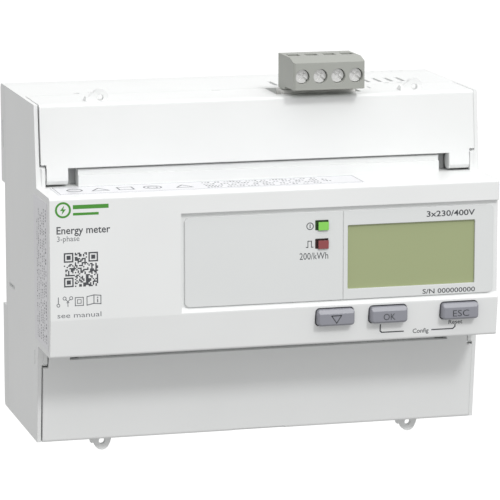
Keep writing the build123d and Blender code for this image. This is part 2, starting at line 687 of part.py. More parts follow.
def terminal_cages(side):
    """Four clamp cages, each a rectangular tube with a threaded front wall."""
    low, high = cage_reaches(side)
    middle = level(side, (low + high) / 2)
    cages = []
    for pole in POLES.values():
        cage = side_block(side, pole - CAGE_HALF, pole + CAGE_HALF, CAGE_FRONT, CAGE_BACK, low, high)
        cage -= side_block(side, pole - CAGE_BORE_HALF, pole + CAGE_BORE_HALF, CAGE_FRONT + CAGE_FRONT_WALL,
                           CAGE_BACK - CAGE_BACK_WALL, low - 1, high + 1)
        cage -= rod_y(TERMINAL_SCREW_RADIUS, pole, CAGE_FRONT - 1, CAGE_FRONT + CAGE_FRONT_WALL + 1, middle)
        cages.append(cage)
    return group(cages)


def terminal_screws(side):
    """Four set screws that press a wire against its busbar."""
    low, high = cage_reaches(side)
    middle = level(side, (low + high) / 2)
    screws = []
    for pole in POLES.values():
        screw = rod_y(TERMINAL_SCREW_RADIUS, pole, -41.5, CAGE_FRONT + CAGE_FRONT_WALL, middle)
        slot = block(pole - 2.6, pole + 2.6, -42, -39.9, middle - 0.5, middle + 0.5)
        cross = block(pole - 0.5, pole + 0.5, -42, -39.9, middle - 2.6, middle + 2.6)
        screws.append(screw - slot - cross)
    return group(screws)


def busbar(pole):
    """One copper bar from its upper to its lower cage, set back where the sensor sits on it."""
    half = BAR_THICK / 2
    upper_end = level(UPPER, cage_reaches(UPPER)[1] + 1.0)
    lower_end = level(LOWER, cage_reaches(LOWER)[1] + 1.0)
    run = [
        (BAR_TERMINAL_Y, upper_end),
        (BAR_TERMINAL_Y, 19.0),
        (BAR_SENSOR_Y, 12.0),
        (BAR_SENSOR_Y, -9.0),
        (BAR_TERMINAL_Y, -16.0),
        (BAR_TERMINAL_Y, lower_end),
    ]
    knee = half * math.tan(math.radians(22.5))
    bends = (0, -knee, -knee, knee, knee, 0)
    front = [(y - half, z + bend) for (y, z), bend in zip(run, bends)]
    back = [(y + half, z - bend) for (y, z), bend in zip(run, bends)]
    return prism(front + back[::-1], pole - BAR_WIDTH / 2, pole + BAR_WIDTH / 2)


def current_sensor(pole):
    """Toroidal current transformer round one line busbar."""
    body = Cylinder(SENSOR_OUTER, SENSOR_HEIGHT)
    body = fillet(body.edges(), 1.2)
    return Pos(pole, BAR_SENSOR_Y, NOSE_MID) * (body - Cylinder(SENSOR_INNER, SENSOR_HEIGHT + 1))


def voltage_taps():
    """Spring blades that bring each pole's voltage to the main board."""
    front = MAIN_BOARD_FRONT + BOARD_THICK
    back = BAR_TERMINAL_Y - BAR_THICK / 2
    return group(block(pole - 1.5, pole + 1.5, front, back, 19.7, 20.3) for pole in POLES.values())


# ---- display and keypad --------------------------------------------------------------------
PANE_FRONT = NOSE_FRONT + RECESS_DEPTH - PANE_THICK
PANE_REAR = NOSE_FRONT + RECESS_DEPTH
GLASS_THICK = 2.2
GLASS_REAR = PANE_REAR + GLASS_THICK
LAMP_BODY_FRONT = PANE_FRONT + 0.7
LAMP_FRONT = NOSE_FRONT + 0.1
LAMP_REAR = -57.5


def display_window():
    """Printed window plate with openings for the LCD and the two lamps."""
    left, right, low, high = LCD_VIEW
    plate = pocket_y(PANE_RIGHT - PANE_LEFT, PANE_TOP - PANE_BOTTOM, 1.4, (PANE_LEFT + PANE_RIGHT) / 2,
                     (PANE_TOP + PANE_BOTTOM) / 2, PANE_FRONT, PANE_REAR)
    plate -= pocket_y(right - left, high - low, 0.3, (left + right) / 2, (low + high) / 2,
                      PANE_FRONT - 1, PANE_REAR + 1)
    for centre in LAMP_CENTRES.values():
        plate -= pocket_y(LAMP_WIDTH, LAMP_HEIGHT, 0.2, LAMP_LEFT + LAMP_WIDTH / 2, centre,
                          PANE_FRONT - 1, PANE_REAR + 1)
    groove_x = left - 1.3
    return plate - block(groove_x - 0.1, groove_x + 0.1, PANE_FRONT - 1, PANE_FRONT + 0.15,
                         PANE_BOTTOM - 1, PANE_TOP + 1)


def lcd_glass():
    """The liquid crystal cell behind the window plate."""
    left, right, low, high = LCD_VIEW
    return block(left - LCD_MARGIN_X, right + LCD_MARGIN_X, PANE_REAR, GLASS_REAR,
                 low - LCD_MARGIN_Z, high + LCD_MARGIN_Z)


def lcd_holder():
    """Frame that presses the glass forward and carries the diffuser and contact strips."""
    left, right, low, high = LCD_VIEW
    frame = block(left - 4.0, right + 3.4, GLASS_REAR, DISPLAY_BOARD_FRONT, low - 4.1, high + 4.1)
    frame -= block(left - 0.3, right + 0.3, GLASS_REAR - 1, DISPLAY_BOARD_FRONT + 1, low - 0.3, high + 0.3)
    for low_edge in (low - 2.3, high + 0.7):
        frame -= block(left - 1.2, right + 1.2, GLASS_REAR - 1, DISPLAY_BOARD_FRONT + 1,
                       low_edge - CONTACT, low_edge + 1.6 + CONTACT)
    return frame


def contact_strips():
    """Two elastomer strips that join the glass to the display board."""
    left, right, low, high = LCD_VIEW
    return group(block(left - 1.0, right + 1.0, GLASS_REAR, DISPLAY_BOARD_FRONT, edge, edge + 1.6)
                 for edge in (low - 2.3, high + 0.7))


def backlight_diffuser():
    """Light guide behind the glass."""
    left, right, low, high = LCD_VIEW
    return block(left, right, GLASS_REAR + 0.2, GLASS_REAR + 3.0, low, high)


def light_pipe(centre):
    """Coloured light guide: a tinted bar that fills its hole, with a raised pad at the front."""
    left = LAMP_LEFT + CONTACT
    right = LAMP_LEFT + LAMP_WIDTH - CONTACT
    low = centre - LAMP_HEIGHT / 2 + CONTACT
    high = centre + LAMP_HEIGHT / 2 - CONTACT
    bar = block(left, right, LAMP_BODY_FRONT, LAMP_REAR, low, high)
    return bar + block(right - LAMP_PAD_WIDTH, right, LAMP_FRONT, LAMP_BODY_FRONT, low, low + LAMP_PAD_HEIGHT)


def status_lamps():
    """The two surface-mounted lamps on the display board."""
    middle = LAMP_LEFT + LAMP_WIDTH / 2
    return group(block(middle - 1.6, middle + 1.6, LAMP_REAR + CONTACT, DISPLAY_BOARD_FRONT,
                       centre - 0.8, centre + 0.8) for centre in LAMP_CENTRES.values())


def button(centre):
    """A key cap with the flange that keeps it in and the stem that works its switch."""
    cap = pocket_y(BUTTON_WIDTH, BUTTON_HEIGHT, 0.9, centre, BUTTON_Z, BUTTON_FRONT, -61.0)
    cap = chamfer(cap.edges().group_by(Axis.Y)[0], BUTTON_EDGE)
    top = BUTTON_Z + BUTTON_HEIGHT / 2
    cap -= prism(
        [
            (BUTTON_FRONT - 1, top - BUTTON_BROW),
            (BUTTON_FRONT, top - BUTTON_BROW),
            (BUTTON_FRONT + BUTTON_BROW / 2, top),
            (BUTTON_FRONT + BUTTON_BROW / 2, top + 1),
            (BUTTON_FRONT - 1, top + 1),
        ],
        centre - BUTTON_WIDTH,
        centre + BUTTON_WIDTH,
    )
    flange = block(centre - 6.3, centre + 6.3, -61.3, -60.5, BUTTON_Z - 2.9, BUTTON_Z + 2.9)
    stem = rod_y(1.6, centre, -60.6, DISPLAY_BOARD_FRONT - 1.3 - GAP - BUTTON_TRAVEL, BUTTON_Z)
    return cap + flange + stem


def tact_switches():
    """Three low push switches under the buttons."""
    return group(block(centre - 2.6, centre + 2.6, DISPLAY_BOARD_FRONT - 1.3, DISPLAY_BOARD_FRONT,
                       BUTTON_Z - 2.6, BUTTON_Z + 2.6) for centre in BUTTON_CENTRES.values())


# ---- boards and what is on them ------------------------------------------------------------
def display_board():
    """Board behind the display and keypad."""
    board = block(4.0, 60.6, DISPLAY_BOARD_FRONT, DISPLAY_BOARD_FRONT + BOARD_THICK, -17.4, 20.8)
    for x, z in DISPLAY_POSTS:
        board -= rod_y(1.3, x, DISPLAY_BOARD_FRONT - 1, DISPLAY_BOARD_FRONT + BOARD_THICK + 1, z)
    return board


def main_board():
    """Measuring and power supply board in the middle of the case."""
    board = block(-59.5, 59.5, MAIN_BOARD_FRONT, MAIN_BOARD_FRONT + BOARD_THICK, -17.4, 20.6)
    for x, z in MAIN_POSTS:
        board -= rod_y(1.3, x, MAIN_BOARD_FRONT - 1, MAIN_BOARD_FRONT + BOARD_THICK + 1, z)
    return board


def comm_board():
    """T-shaped communication board: a tongue under the header and a wide part under the vents."""
    low = COMM_BOARD_TOP - BOARD_THICK
    board = block(PLUG_MID - 11.6, PLUG_MID + 11.6, HEADER_FRONT + 0.2, -20.0, low, COMM_BOARD_TOP)
    board += block(-26.0, 55.0, -21.5, -6.0, low, COMM_BOARD_TOP)
    for x, y in COMM_POSTS:
        board -= rod_z(1.3, x, y, low - 1, COMM_BOARD_TOP + 1)
    return board


def board_screw_y(x, z, seat, towards):
    """Small pan-head screw along Y whose head stands on a board face at seat."""
    head = rod_y(2.2, x, seat, seat - towards * 1.6, z)
    shank = rod_y(PILOT_RADIUS, x, seat, seat + towards * 6.0, z)
    return head + shank - cross_recess(x, seat - towards * 1.6, z, -towards, 0.8)


def display_board_screws():
    """Four screws that hold the display board on its posts."""
    seat = DISPLAY_BOARD_FRONT + BOARD_THICK
    return group(board_screw_y(x, z, seat, -1) for x, z in DISPLAY_POSTS)


def main_board_screws():
    """Four screws that hold the main board on the rear base's posts."""
    return group(board_screw_y(x, z, MAIN_BOARD_FRONT, 1) for x, z in MAIN_POSTS)


def comm_board_screws():
    """Three screws that hold the communication board on its posts."""
    screws = []
    for x, y in COMM_POSTS:
        head = rod_z(2.2, x, y, COMM_BOARD_TOP, COMM_BOARD_TOP + 1.6)
        shank = rod_z(PILOT_RADIUS, x, y, COMM_BOARD_TOP - 6.0, COMM_BOARD_TOP)
        slot = block(x - 1.5, x + 1.5, y - 0.3, y + 0.3, COMM_BOARD_TOP + 0.8, COMM_BOARD_TOP + 2)
        screws.append(head + shank - slot)
    return group(screws)


LINK_PINS = 10
LINK_PITCH = 2.54
LINK_LEFT = 12.0
SOCKET_TOP = -45.0


def interboard_socket():
    """Socket strip on the main board for the pins of the display board."""
    width = LINK_PITCH * LINK_PINS
    body = block(LINK_LEFT - LINK_PITCH / 2, LINK_LEFT - LINK_PITCH / 2 + width, SOCKET_TOP,
                 MAIN_BOARD_FRONT, 1.6, 4.2)
    for index in range(LINK_PINS):
        x = LINK_LEFT + index * LINK_PITCH
        body -= block(x - 0.45, x + 0.45, SOCKET_TOP - 1, SOCKET_TOP + 6.5, 2.45, 3.35)
    return body


def interboard_pins():
    """Long square pins from the display board into the socket strip."""
    front = DISPLAY_BOARD_FRONT + BOARD_THICK
    pins = []
    for index in range(LINK_PINS):
        x = LINK_LEFT + index * LINK_PITCH
        pins.append(block(x - 0.32, x + 0.32, front, SOCKET_TOP + 5.5, 2.58, 3.22))
    return group(pins)


def comm_link_pins():
    """Angled pins that join the communication board to the main board."""
    pins = []
    for index in range(6):
        x = PLUG_MID - 6.35 + index * 2.54
        upright = block(x - 0.32, x + 0.32, -32.6, -31.96, 17.0, COMM_BOARD_TOP - BOARD_THICK)
        foot = block(x - 0.32, x + 0.32, MAIN_BOARD_FRONT + BOARD_THICK, -31.96, 17.0, 17.64)
        pins.append(upright + foot)
    return group(pins)


def on_main_board(x0, x1, z0, z1, height):
    """A component body that stands on the front face of the main board."""
    return block(x0, x1, MAIN_BOARD_FRONT - height, MAIN_BOARD_FRONT, z0, z1)


def supply_transformer():
    """Small switching transformer of the power supply."""
    core = on_main_board(-46.0, -30.0, -6.0, 10.0, 13.0)
    window = block(-46.5, -29.5, -47.0, -38.5, -3.2, 7.2)
    coil = on_main_board(-44.0, -32.0, -2.9, 6.9, 12.4)
    return (core - window) + coil


def filter_capacitors():
    """Electrolytic capacitors of the power supply."""
    cans = []
    for x, z, radius, height in ((-22.0, 9.0, 5.0, 16.0), (-22.0, -4.0, 4.0, 12.0), (-11.5, 9.5, 4.0, 12.0)):
        can = rod_y(radius, x, MAIN_BOARD_FRONT - height, MAIN_BOARD_FRONT, z)
        cans.append(fillet(can.edges(), 0.5))
    return group(cans)


def surge_arresters():
    """Three varistor discs, one for each line input."""
    return group(rod_x(4.5, x, x + 3.2, MAIN_BOARD_FRONT - 5.2, 14.0) for x in (-52.0, -1.0, 5.0))


def measuring_chips():
    """Measuring circuit and controller, flat packages on the main board."""
    measuring = on_main_board(20.0, 30.0, -8.0, 1.1, 1.4)
    controller = on_main_board(36.0, 43.0, 6.0, 13.0, 1.2)
    return group([measuring, controller])


def backup_cell():
    """Coin cell that keeps the clock running."""
    return rod_y(6.2, 48.0, MAIN_BOARD_FRONT - 4.4, MAIN_BOARD_FRONT, -5.0)


def isolation_couplers():
    """Isolated interface circuits on the communication board."""
    return group(block(x, x + 7.0, -18.6, -12.0, COMM_BOARD_TOP, COMM_BOARD_TOP + 3.2)
                 for x in (-14.0, -3.0, 30.0))


def insulation_sheet():
    """Sheet that keeps the busbars and sensors away from the main board."""
    sheet = block(-59.5, 59.5, -31.4, -31.0, -17.4, 16.4)
    for x, z in MAIN_POSTS:
        sheet -= rod_y(POST_RADIUS + 0.2, x, -33, -29, z)
    return sheet


# ---- communication terminal ----------------------------------------------------------------
def way_positions():
    """X of each way of the communication terminal."""
    return [PLUG_MID + (index - (WAYS - 1) / 2) * PITCH for index in range(WAYS)]


def comm_header():
    """Shrouded header that takes the pluggable terminal."""
    body = block(PLUG_MID - PLUG_WIDTH / 2 - 0.4, PLUG_MID + PLUG_WIDTH / 2 + 0.4, HEADER_FRONT, HEADER_BACK,
                 COMM_BOARD_TOP, HEADER_TOP)
    body -= block(PLUG_MID - PLUG_WIDTH / 2 + HEADER_WALL, PLUG_MID + PLUG_WIDTH / 2 - HEADER_WALL,
                  HEADER_FRONT + HEADER_WALL, HEADER_BACK - HEADER_WALL, COMM_BOARD_TOP + 1.6, HEADER_TOP + 1)
    for x in way_positions():
        body -= block(x - 0.5, x + 0.5, CONTACT_Y - 0.5, CONTACT_Y + 0.5, COMM_BOARD_TOP - 1,
                      COMM_BOARD_TOP + 3)
    return body


def comm_header_pins():
    """Four contact pins of the header."""
    return group(block(x - 0.5, x + 0.5, CONTACT_Y - 0.5, CONTACT_Y + 0.5, COMM_BOARD_TOP,
                       COMM_BOARD_TOP + 8.4) for x in way_positions())


def comm_plug_body():
    """Pluggable screw terminal: tower with wire funnels above, tongue inside the header below."""
    left = PLUG_MID - PLUG_WIDTH / 2
    right = PLUG_MID + PLUG_WIDTH / 2
    tower = prism(
        [
            (PLUG_FRONT, PLUG_BOTTOM),
            (PLUG_FRONT, PLUG_TOP - 1.1),
            (PLUG_FRONT + 4.2, PLUG_TOP),
            (PLUG_BACK, PLUG_TOP),
            (PLUG_BACK, HEADER_TOP + GAP),
            (HEADER_FRONT - 1.0, HEADER_TOP + GAP),
            (HEADER_FRONT - 1.6, PLUG_BOTTOM),
        ],
        left,
        right,
    )
    tower = chamfer(tower.edges().filter_by(Axis.Z).group_by(Axis.Y)[0], 0.5)
    tongue = block(left + HEADER_WALL + GAP, right - HEADER_WALL - GAP, HEADER_FRONT + HEADER_WALL + GAP,
                   HEADER_BACK - HEADER_WALL - GAP, COMM_BOARD_TOP + 2.2, PLUG_BOTTOM)
    body = tower + tongue
    for x in way_positions():
        body -= block(x - 0.85, x + 0.85, CONTACT_Y - 0.85, CONTACT_Y + 0.85, COMM_BOARD_TOP,
                      COMM_BOARD_TOP + 9.4)
        body -= block(x - 1.7, x + 1.7, -42.2, -38.4, 49.6, PLUG_TOP + 1)
        body -= rod_y(2.0, x, PLUG_FRONT - 1, PLUG_SCREW_SEAT, PLUG_SCREW_Z)
        body -= rod_y(1.4, x, PLUG_SCREW_SEAT - 0.1, -42.6, PLUG_SCREW_Z)
    return body


def comm_plug_screws():
    """Clamp screws of the pluggable terminal, seen at its front."""
    screws = []
    slot_floor = PLUG_SCREW_FACE + 0.55
    for x in way_positions():
        head = rod_y(1.85, x, PLUG_SCREW_FACE, PLUG_SCREW_SEAT, PLUG_SCREW_Z)
        shank = rod_y(1.3, x, PLUG_SCREW_SEAT, -43.4, PLUG_SCREW_Z)
        slot = block(x - 2.0, x + 2.0, PLUG_FRONT, slot_floor, PLUG_SCREW_Z - 0.28, PLUG_SCREW_Z + 0.28)
        cross = block(x - 0.28, x + 0.28, PLUG_FRONT, slot_floor, PLUG_SCREW_Z - 1.2, PLUG_SCREW_Z + 1.2)
        turn = Pos(x, 0, PLUG_SCREW_Z) * Rot(0, 38, 0) * Pos(-x, 0, -PLUG_SCREW_Z)
        screws.append(head + shank - turn * (slot + cross))
    return group(screws)


def comm_plug_clamps():
    """Metal clamp in each wire funnel."""
    clamps = []
    for x in way_positions():
        clamp = block(x - 1.65, x + 1.65, -42.15, -38.45, 49.7, 53.4)
        clamps.append(clamp - block(x - 1.2, x + 1.2, -41.6, -39.0, 49.0, 54.0))
    return group(clamps)


# ---- rail latch ----------------------------------------------------------------------------
def din_latch():
    """Sliding latch: lip for the rail, window for the spring, pull slot at the foot."""
    front = HOOK_GAP
    back = HOOK_GAP + LATCH_THICK
    half = LATCH_HALF_WIDTH
    plate = block(-half, half, front, back, BOTTOM - 0.6, -RAIL_SLOT_HALF + HOOK_LIP)
    plate = chamfer(plate.edges().filter_by(Axis.X).group_by(Axis.Z)[-1].sort_by(Axis.Y)[-1:], 1.2)
    plate -= block(-2.9, 2.9, front - 1, back + 1, SPRING_FOOT - 1.5 - GAP, SPRING_TOP)
    return plate - block(-4.0, 4.0, front - 1, back + 1, BOTTOM + 0.8, BOTTOM + 3.2)


def latch_spring():
    """Compression spring between the base's tab and the latch."""
    height = SPRING_TOP - SPRING_FOOT - 2 * SPRING_WIRE
    coil = Helix(pitch=height / 7, height=height, radius=SPRING_RADIUS)
    start = Plane(coil @ 0, z_dir=coil % 0)
    wire = sweep(start * Circle(SPRING_WIRE), path=coil)
    middle = HOOK_GAP + LATCH_THICK / 2 + 0.1
    return Pos(0, middle, SPRING_FOOT + SPRING_WIRE) * wire


# ---- labels --------------------------------------------------------------------------------
LABEL_THICK = 0.15


def rating_label():
    """Sticker on the top of the nose."""
    return block(-59.5, 26.0, -60.0, -47.6, NOSE_TOP, NOSE_TOP + LABEL_THICK)


def side_label():
    """Sticker on the left side of the case."""
    return block(-HALF_WIDTH - LABEL_THICK, -HALF_WIDTH, -61.4, -43.4, -18.4, 21.6)


# ---- every node ----------------------------------------------------------------------------
def build_nodes():
    """All pieces by node name."""
    nodes = {
        "main_housing": main_housing(),
        "rear_base": rear_base(),
        "case_screws": case_screws(),
        "upper_terminal_cover": terminal_cover(UPPER),
        "upper_cover_lid": upper_lid_part(-COVER_HALF_WIDTH - 1, NOTCH_LEFT),
        "upper_cover_bridge": upper_lid_part(NOTCH_LEFT, NOTCH_RIGHT),
        "upper_cover_lid_end": upper_lid_part(NOTCH_RIGHT, COVER_HALF_WIDTH + 1),
        "lower_terminal_cover": lower_terminal_cover(),
        "lower_cover_lid": cover_lid(LOWER, 0.0),
        "upper_terminal_block": upper_terminal_block(),
        "lower_terminal_block": lower_terminal_block(),
        "upper_terminal_cages": terminal_cages(UPPER),
        "lower_terminal_cages": terminal_cages(LOWER),
        "upper_terminal_screws": terminal_screws(UPPER),
        "lower_terminal_screws": terminal_screws(LOWER),
        "voltage_taps": voltage_taps(),
        "display_window": display_window(),
        "lcd_glass": lcd_glass(),
        "lcd_holder": lcd_holder(),
        "lcd_contact_strips": contact_strips(),
        "backlight_diffuser": backlight_diffuser(),
        "status_lamps": status_lamps(),
        "tact_switches": tact_switches(),
        "display_board": display_board(),
        "display_board_screws": display_board_screws(),
        "main_board": main_board(),
        "main_board_screws": main_board_screws(),
        "comm_board": comm_board(),
        "comm_board_screws": comm_board_screws(),
        "interboard_socket": interboard_socket(),
        "interboard_pins": interboard_pins(),
        "comm_link_pins": comm_link_pins(),
        "supply_transformer": supply_transformer(),
        "filter_capacitors": filter_capacitors(),
        "surge_arresters": surge_arresters(),
        "measuring_chips": measuring_chips(),
        "backup_cell": backup_cell(),
        "isolation_couplers": isolation_couplers(),
        "insulation_sheet": insulation_sheet(),
        "comm_header": comm_header(),
        "comm_header_pins": comm_header_pins(),
        "comm_plug_body": comm_plug_body(),
        "comm_plug_screws": comm_plug_screws(),
        "comm_plug_clamps": comm_plug_clamps(),
        "din_latch": din_latch(),
        "latch_spring": latch_spring(),
        "rating_label": rating_label(),
        "side_label": side_label(),
    }
    for name, pole in POLES.items():
        nodes[name + "_busbar"] = busbar(pole)
        if name != "neutral":
            nodes[name + "_current_sensor"] = current_sensor(pole)
    for name, centre in LAMP_CENTRES.items():
        nodes[name + "_light_pipe"] = light_pipe(centre)
    for name, centre in BUTTON_CENTRES.items():
        nodes[name + "_button"] = button(centre)
    return nodes


os.makedirs("parts", exist_ok=True)
for node_name, shape in build_nodes().items():
    export_step(shape, "parts/" + node_name + ".step")
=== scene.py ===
import json
import math
import random

import bmesh
import bpy
from mathutils import Matrix, Vector


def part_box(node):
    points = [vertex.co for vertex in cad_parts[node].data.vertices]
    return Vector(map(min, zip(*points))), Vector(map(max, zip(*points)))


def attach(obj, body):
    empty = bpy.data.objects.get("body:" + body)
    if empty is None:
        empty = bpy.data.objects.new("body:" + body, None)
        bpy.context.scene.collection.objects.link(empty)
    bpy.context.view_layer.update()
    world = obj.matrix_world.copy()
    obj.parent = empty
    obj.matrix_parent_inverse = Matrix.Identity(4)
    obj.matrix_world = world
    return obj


MM = 0.001
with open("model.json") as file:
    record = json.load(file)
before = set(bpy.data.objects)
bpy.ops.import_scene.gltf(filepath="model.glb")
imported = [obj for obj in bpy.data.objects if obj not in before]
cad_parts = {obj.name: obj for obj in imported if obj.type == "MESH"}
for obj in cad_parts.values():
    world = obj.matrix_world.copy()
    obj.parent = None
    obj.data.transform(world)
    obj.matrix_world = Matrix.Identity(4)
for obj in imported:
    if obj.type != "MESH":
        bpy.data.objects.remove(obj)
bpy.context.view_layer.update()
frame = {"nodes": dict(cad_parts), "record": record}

# Light: angles in degrees, places and sizes in metres, brightness where white is 1.
SURROUND = 0.50
OVERHEAD = 0.50                 # added to the surround towards the zenith
SCREEN_DIRECTION = (0.25, 0.95, -0.18)
SCREEN_BRIGHTNESS = 1.1
SCREEN_CLEAR = 14.0             # half angle within which the screen is plain white
SCREEN_FADE = 26.0              # half angle at which it has faded into the surround
KEY_ENERGY = 0.95
KEY_SPREAD = 10
KEY_DIRECTION = (0.32, -1.0, 0.93)
SOFTBOX_POWER = 0.30
SOFTBOX_SIZE = 0.35
SOFTBOX_PLACE = (0.03, -0.20, 0.27)

# Camera.
SENSOR_WIDTH = 36.0
FOCAL_LENGTH = 232.3
CAMERA_PLACE_MM = (-227.9, -893.03, 164.15)
CAMERA_AZIMUTH = 14.867
CAMERA_ELEVATION = 10.383

# Printing, millimetres.
PRINT_ROOT = 0.01               # how far a printed shape reaches below the surface
LETTER_CAP = 0.7                # height of a capital for a letter size of 1
KEYPAD_BREAK_Z = -9.8           # the keypad panel leans back below this height
KEYPAD_LEAN = 1.3
KEYPAD_HEIGHT = 10.45
LABEL_MARGIN = 0.6
MARK_STROKE = 0.45
SMALL_PRINT_ROWS = 4
SIDE_COLUMNS = ((1.3, 1.25), (3.8, 0.95), (6.0, 0.95), (8.4, 1.0), (11.0, 0.9), (13.2, 0.9))
CODE_CELLS = 25
CODE_FILL = 0.52                # share of the dot pattern's cells that are printed
CODE_CORNER = 7                 # size of a corner square, cells
# Size of the painted lit pad on each light pipe's front, mm.
LAMP_LIT_PAD_WIDTH = 2.9
LAMP_LIT_PAD_HEIGHT = 2.3


def srgb(*rgb):
    """Linear colour from 0-255 display values."""
    out = []
    for value in rgb:
        c = value / 255
        out.append(c / 12.92 if c <= 0.04045 else ((c + 0.055) / 1.055) ** 2.4)
    return tuple(out)


def tint(colour, gain):
    return tuple(min(1.0, c * gain) for c in colour)


# ---- materials ------------------------------------------------------------------------------
def moulded(name, colour, rough=0.45, grain=0.16, grain_depth=0.006, edge=0.25, shade=0.03,
            metallic=0.0, coat=0.0, specular=0.5, rough_span=0.08, streak=None):
    """Moulded or cast surface: fine spark-erosion grain, faint colour drift, softened edges (sizes in mm)."""
    mat = bpy.data.materials.new(name)
    mat.use_nodes = True
    nodes = mat.node_tree.nodes
    links = mat.node_tree.links
    bsdf = nodes["Principled BSDF"]
    bsdf.inputs["Metallic"].default_value = metallic
    bsdf.inputs["Coat Weight"].default_value = coat
    bsdf.inputs["Specular IOR Level"].default_value = specular
    coord = nodes.new("ShaderNodeTexCoord")
    source = coord.outputs["Object"]
    if streak is not None:
        stretch = nodes.new("ShaderNodeMapping")
        stretch.inputs["Scale"].default_value = streak
        links.new(source, stretch.inputs["Vector"])
        source = stretch.outputs["Vector"]
    drift = nodes.new("ShaderNodeTexNoise")
    drift.inputs["Scale"].default_value = 45.0
    drift.inputs["Detail"].default_value = 3.0
    links.new(source, drift.inputs["Vector"])
    mix = nodes.new("ShaderNodeMix")
    mix.data_type = "RGBA"
    mix.inputs["A"].default_value = (*tint(colour, 1 - shade), 1)
    mix.inputs["B"].default_value = (*tint(colour, 1 + shade), 1)
    links.new(drift.outputs["Fac"], mix.inputs["Factor"])
    links.new(mix.outputs["Result"], bsdf.inputs["Base Color"])
    fine = nodes.new("ShaderNodeTexNoise")
    fine.inputs["Scale"].default_value = 1.0 / (grain * MM)
    fine.inputs["Detail"].default_value = 2.0
    links.new(source, fine.inputs["Vector"])
    spread = nodes.new("ShaderNodeMapRange")
    spread.inputs["To Min"].default_value = rough - rough_span
    spread.inputs["To Max"].default_value = rough + rough_span
    links.new(fine.outputs["Fac"], spread.inputs["Value"])
    links.new(spread.outputs["Result"], bsdf.inputs["Roughness"])
    bump = nodes.new("ShaderNodeBump")
    bump.inputs["Strength"].default_value = 0.6
    bump.inputs["Distance"].default_value = grain_depth * MM
    links.new(fine.outputs["Fac"], bump.inputs["Height"])
    if edge > 0:
        bevel = nodes.new("ShaderNodeBevel")
        bevel.samples = 6
        bevel.inputs["Radius"].default_value = edge * MM
        links.new(bevel.outputs["Normal"], bump.inputs["Normal"])
    links.new(bump.outputs["Normal"], bsdf.inputs["Normal"])
    return mat


CASE = (0.845, 0.855, 0.850)
MATERIALS = {
    "case_plastic": moulded("case_plastic", CASE, rough=0.42, edge=0.22),
    "base_plastic": moulded("base_plastic", tint(CASE, 0.97), rough=0.46, edge=0.2),
    "terminal_plastic": moulded("terminal_plastic", (0.52, 0.53, 0.53), rough=0.5, grain=0.3),
    "window_plate": moulded("window_plate", (0.757, 0.772, 0.767), rough=0.3, grain=0.1, grain_depth=0.002,
                            edge=0.25, shade=0.015),
    "lcd_cell": moulded("lcd_cell", tint(srgb(163, 172, 129), 1.02), rough=0.16, grain=1.4,
                        grain_depth=0.0015, edge=0.05, shade=0.02, coat=0.4, rough_span=0.03),
    "lcd_holder": moulded("lcd_holder", (0.75, 0.75, 0.72)),
    "rubber_strip": moulded("rubber_strip", (0.35, 0.16, 0.14), rough=0.7, edge=0.1),
    "diffuser": moulded("diffuser", (0.70, 0.78, 0.60), rough=0.3, edge=0.1),
    # Lens colours: the lenses' own green and red darkened to the tone of their shaded top and left edges, so
    # partly painted shade.
    "green_lens": moulded("green_lens", srgb(64, 98, 52), rough=0.22, edge=0.12, coat=0.4),
    "red_lens": moulded("red_lens", srgb(78, 50, 48), rough=0.22, edge=0.12, coat=0.4),
    "button_plastic": moulded("button_plastic", srgb(146, 147, 155), rough=0.38, grain=0.14, edge=0.3),
    "circuit_board": moulded("circuit_board", (0.02, 0.12, 0.05), rough=0.35, edge=0.1, coat=0.3),
    "black_parts": moulded("black_parts", (0.022, 0.022, 0.024), rough=0.5),
    "white_parts": moulded("white_parts", (0.75, 0.75, 0.72), rough=0.4, edge=0.1),
    "ferrite": moulded("ferrite", (0.045, 0.045, 0.05), rough=0.65, grain=0.25, grain_depth=0.015),
    "copper": moulded("copper", (0.70, 0.42, 0.29), rough=0.32, metallic=1.0, edge=0.2, streak=(1, 1, 0.15)),
    "plated_steel": moulded("plated_steel", (0.90, 0.90, 0.89), rough=0.22, metallic=1.0, edge=0.12,
                            grain=0.3, grain_depth=0.003),
    "spring_steel": moulded("spring_steel", (0.45, 0.45, 0.46), rough=0.3, metallic=1.0, edge=0.0,
                            streak=(1, 1, 0.2)),
    "contact_metal": moulded("contact_metal", (0.72, 0.62, 0.42), rough=0.28, metallic=1.0, edge=0.05),
    "capacitor_sleeve": moulded("capacitor_sleeve", (0.03, 0.04, 0.12), rough=0.28, coat=0.3),
    "varistor_coat": moulded("varistor_coat", (0.05, 0.14, 0.40), rough=0.4, grain=0.5, grain_depth=0.02),
    "plug_plastic": moulded("plug_plastic", srgb(164, 166, 160), rough=0.5, grain=0.35, grain_depth=0.02,
                            edge=0.2, shade=0.05),
    "insulator": moulded("insulator", (0.70, 0.70, 0.62), rough=0.6, edge=0.05),
    "label_paper": moulded("label_paper", (0.80, 0.80, 0.825), rough=0.33, grain=0.1, grain_depth=0.002,
                           edge=0.05),
}
INK = moulded("ink_dark", srgb(74, 76, 80), rough=0.5, edge=0.0, grain=0.2, grain_depth=0.001)
FAINT_INK = moulded("ink_faint", srgb(118, 120, 124), rough=0.5, edge=0.0, grain=0.2, grain_depth=0.001)
GREEN_INK = moulded("ink_green", srgb(74, 148, 52), rough=0.45, edge=0.0, grain=0.2, grain_depth=0.001)
# Painted lit faces: brighter copies of the lens colours for the lit part of each light pipe's front.
GREEN_PAINTED_LIT_FACE = moulded("green_painted_lit_face", srgb(140, 214, 94), rough=0.22, edge=0.1, coat=0.3)
RED_PAINTED_LIT_FACE = moulded("red_painted_lit_face", srgb(148, 74, 76), rough=0.22, edge=0.1, coat=0.3)

